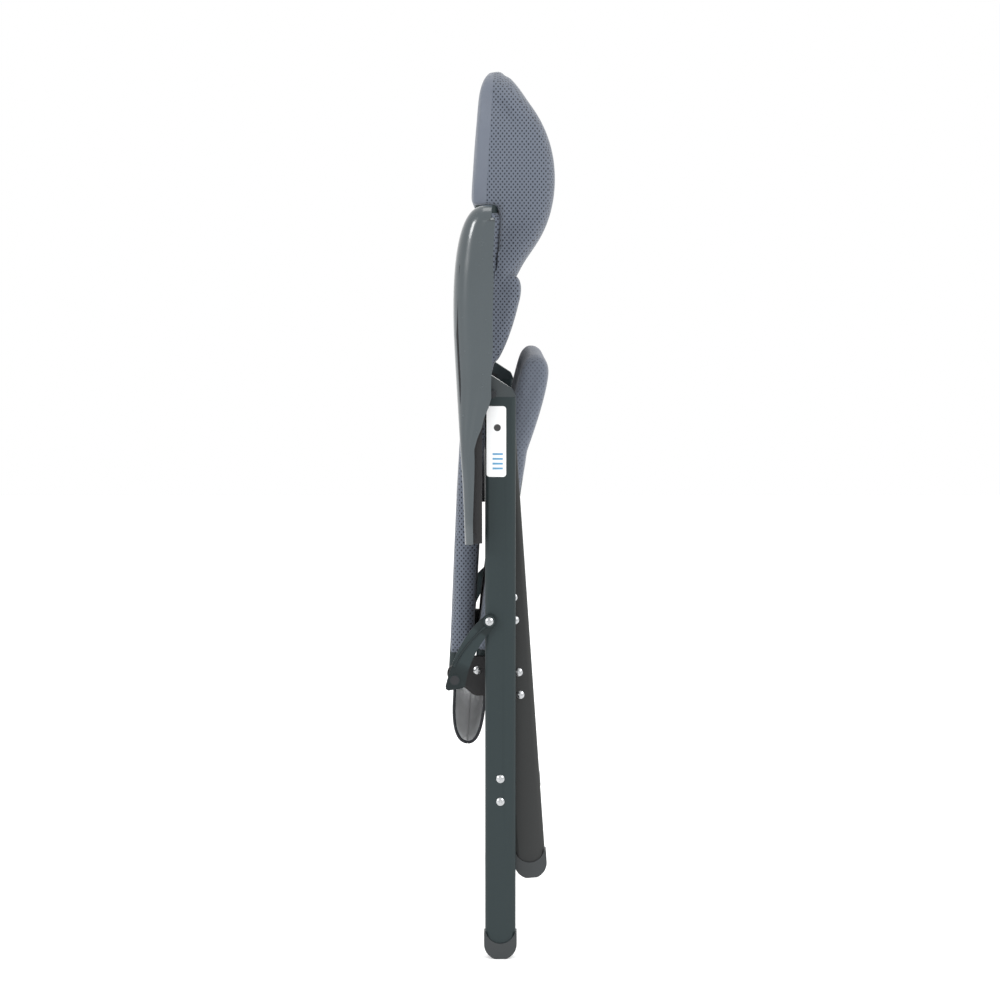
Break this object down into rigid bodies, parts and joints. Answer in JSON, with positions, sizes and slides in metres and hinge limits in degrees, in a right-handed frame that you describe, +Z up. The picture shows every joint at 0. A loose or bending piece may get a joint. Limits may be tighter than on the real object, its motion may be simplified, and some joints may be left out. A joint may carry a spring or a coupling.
{
  "type": "folding camp chair",
  "caption": "High-backed camp chair with scissor legs, padded mesh seat, back and headrest, and notched reclining armrests, folded flat.",
  "frame": {"origin": "bottom centre of the folded chair's box, on the floor under the outer legs", "axes": "+Z up, +X towards the side that the sitter faces, +Y towards the sitter's left"},
  "size_m": [0.143, 0.668, 1.16],
  "materials": {
    "frame_paint": "anthracite powder coat, satin",
    "inner_frame_paint": "dark anthracite powder coat, satin",
    "armrest_plastic": "moulded, glossy",
    "foot_plastic": "moulded, soft satin",
    "black_plastic": "moulded, fine grain",
    "zinc_steel": "bright zinc plate",
    "blackened_steel": "blackened, satin",
    "spacer_mesh": "padded spacer mesh with rows of small holes",
    "lining_cloth": "smooth woven cloth with a bound edge"
  },
  "bodies": {
    "leg_pivots": {"leg_pivot_bolt_left": "zinc_steel", "leg_pivot_bolt_right": "zinc_steel", "leg_pivot_washers": "black_plastic"},
    "outer_legs": {"outer_leg_left": "frame_paint", "outer_leg_right": "frame_paint", "outer_leg_cap_left": "armrest_plastic", "outer_leg_cap_right": "armrest_plastic", "outer_foot_left": "foot_plastic", "outer_foot_right": "foot_plastic", "outer_crossbar": "frame_paint", "outer_crossbar_plugs": "black_plastic", "outer_crossbar_screws": "zinc_steel", "rack_pin_left": "blackened_steel", "rack_pin_right": "blackened_steel", "link_screws": "zinc_steel"},
    "inner_legs": {"inner_leg_left": "inner_frame_paint", "inner_leg_right": "inner_frame_paint", "inner_leg_plug_left": "black_plastic", "inner_leg_plug_right": "black_plastic", "inner_foot_left": "foot_plastic", "inner_foot_right": "foot_plastic", "inner_crossbar_upper": "inner_frame_paint", "inner_crossbar_lower": "inner_frame_paint", "inner_crossbar_plugs": "black_plastic", "inner_crossbar_screws": "zinc_steel"},
    "links": {"half_moon_link_left": "frame_paint", "half_moon_link_right": "frame_paint"},
    "seat": {"seat_rail_left": "frame_paint", "seat_rail_right": "frame_paint", "seat_front_rail_left": "frame_paint", "seat_front_rail_right": "frame_paint", "seat_rail_joiners": "black_plastic", "seat_front_bar": "frame_paint", "seat_rear_bar": "frame_paint", "seat_pivot_studs": "zinc_steel", "seat_pad": "spacer_mesh", "hinge_bracket_left": "black_plastic", "hinge_bracket_right": "black_plastic", "bracket_screws": "zinc_steel"},
    "hinge_pins": {"hinge_pin_left": "blackened_steel", "hinge_pin_right": "blackened_steel", "fabric_loop": "lining_cloth"},
    "backrest": {"backrest_tube_left": "frame_paint", "backrest_tube_right": "frame_paint", "backrest_top_bow": "frame_paint", "backrest_lower_bar": "frame_paint", "backrest_pad": "spacer_mesh", "headrest_pad": "spacer_mesh"},
    "armrest_bolts": {"armrest_bolt_left": "blackened_steel", "armrest_bolt_right": "blackened_steel"},
    "armrests": {"armrest_left": "armrest_plastic", "armrest_right": "armrest_plastic", "armrest_rack_left": "black_plastic", "armrest_rack_right": "black_plastic", "rack_screws": "zinc_steel"}
  },
  "joints": [
    {"name": "fold", "type": "hinge", "parent": "leg_pivots", "child": "outer_legs", "pos_m": [0, 0, 0.69], "axis": [0, 1, 0], "range_deg": [0, 39.1], "deforming": ["fabric_loop"]},
    {"name": "front_leg_swing", "type": "hinge", "parent": "leg_pivots", "child": "inner_legs", "pos_m": [0, 0, 0.69], "axis": [0, 1, 0], "range_deg": [-20.6, 0]},
    {"name": "link_swing", "type": "hinge", "parent": "outer_legs", "child": "links", "pos_m": [-0.0144, 0, 0.446], "axis": [0, 1, 0], "range_deg": [0, 104.43]},
    {"name": "seat_swing", "type": "hinge", "parent": "links", "child": "seat", "pos_m": [-0.0595, 0, 0.369], "axis": [0, 1, 0], "range_deg": [-70.07, 0]},
    {"name": "hinge_pin_swing", "type": "hinge", "parent": "seat", "child": "hinge_pins", "pos_m": [-0.0595, 0, 0.369], "axis": [0, 1, 0], "range_deg": [-97.46, 0]},
    {"name": "recline", "type": "hinge", "parent": "hinge_pins", "child": "backrest", "pos_m": [-0.0595, 0, 0.369], "axis": [0, -1, 0], "range_deg": [0, 30]},
    {"name": "armrest_bolt_swing", "type": "hinge", "parent": "backrest", "child": "armrest_bolts", "pos_m": [-0.037, 0, 0.557], "axis": [0, 1, 0], "range_deg": [0, 117.6]},
    {"name": "armrest_tilt", "type": "hinge", "parent": "armrest_bolts", "child": "armrests", "pos_m": [-0.037, 0, 0.557], "axis": [0, -1, 0], "range_deg": [-21.2, 0]}
  ],
  "couplings": [
    {"joint": "front_leg_swing", "follows": "fold", "ratio": -0.52174},
    {"joint": "link_swing", "follows": "fold", "ratio": 2.6657},
    {"joint": "seat_swing", "follows": "fold", "ratio": -1.787},
    {"joint": "hinge_pin_swing", "follows": "fold", "ratio": -2.4875},
    {"joint": "armrest_bolt_swing", "follows": "fold", "ratio": 3.0026},
    {"joint": "armrest_tilt", "follows": "recline", "ratio": -0.7}
  ]
}
